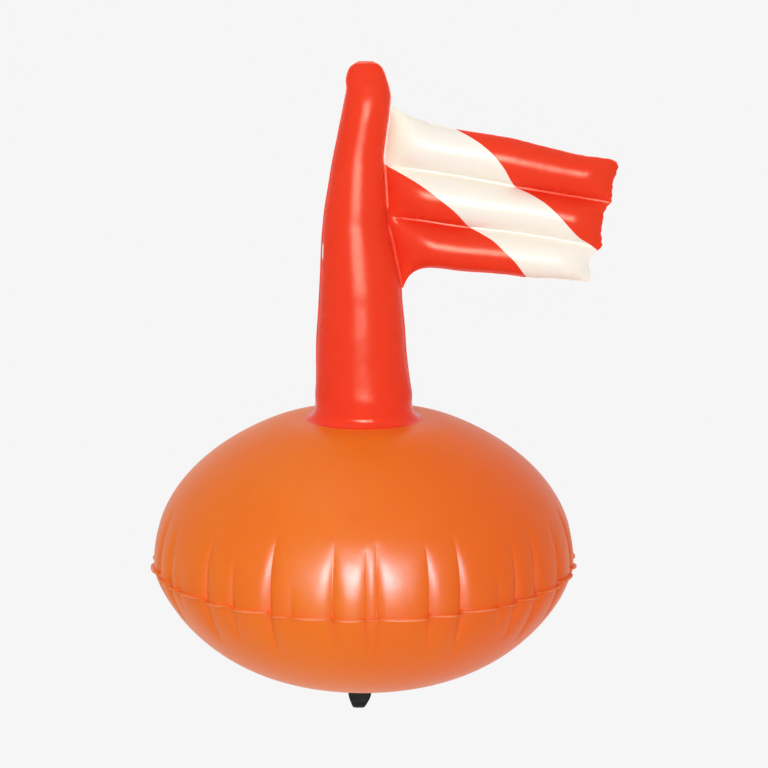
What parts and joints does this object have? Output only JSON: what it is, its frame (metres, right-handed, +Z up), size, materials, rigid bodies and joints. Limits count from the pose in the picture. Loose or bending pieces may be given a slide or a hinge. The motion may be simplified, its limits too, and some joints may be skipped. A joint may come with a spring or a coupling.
{
  "type": "inflatable dive buoy",
  "caption": "Inflatable marker buoy: flattened ball with a tapered air-filled mast, a tubed signal flag with a diagonal stripe, an inflation valve and a line eye below.",
  "frame": {"origin": "centre of the line eye under the ball, where the buoy is held by its line", "axes": "+Z up along the mast, +X from the mast towards the flag's free edge, +Y away from the picture's viewer"},
  "size_m": [0.4107, 0.3802, 0.5821],
  "materials": {
    "ball_film": "soft orange vinyl film, satin gloss",
    "signal_film": "soft red-orange vinyl film, satin gloss",
    "stripe_film": "warm white printed film",
    "black_moulding": "moulded black vinyl, glossy",
    "ballast": "dull cast metal"
  },
  "bodies": {
    "buoy": {"upper_panel": "ball_film", "lower_panel": "ball_film", "bottom_patch": "ball_film", "ballast_pocket": "ball_film", "ballast_weight": "ballast", "mast_collar": "signal_film", "mast_front_panel": "signal_film", "mast_back_panel": "signal_film", "valve_body": "black_moulding", "plug_tether": "black_moulding", "line_lug": "black_moulding"},
    "flag": {"flag_front_panel": "signal_film", "flag_back_panel": "signal_film", "stripe_front": "stripe_film", "stripe_back": "stripe_film"},
    "plug": {"valve_plug": "black_moulding"},
    "flap": {"valve_flap": "black_moulding"}
  },
  "joints": [
    {"name": "flag_swing", "type": "hinge", "parent": "buoy", "child": "flag", "pos_m": [0.02619, 0, 0.43578], "axis": [0.0228, 0, 0.9997], "range_deg": [-25, 25], "stiffness_Nm_per_rad": 0.06},
    {"name": "plug_pull", "type": "slide", "parent": "buoy", "child": "plug", "axis": [0, 0.673, 0.7396], "range_m": [0, 0.02], "deforming": ["plug_tether"]},
    {"name": "flap_swing", "type": "hinge", "parent": "buoy", "child": "flap", "pos_m": [-0.001, 0.14853, 0.20514], "axis": [0, 0.7396, -0.673], "range_deg": [0, 60], "stiffness_Nm_per_rad": 0.0002, "springref_deg": -11.46}
  ]
}
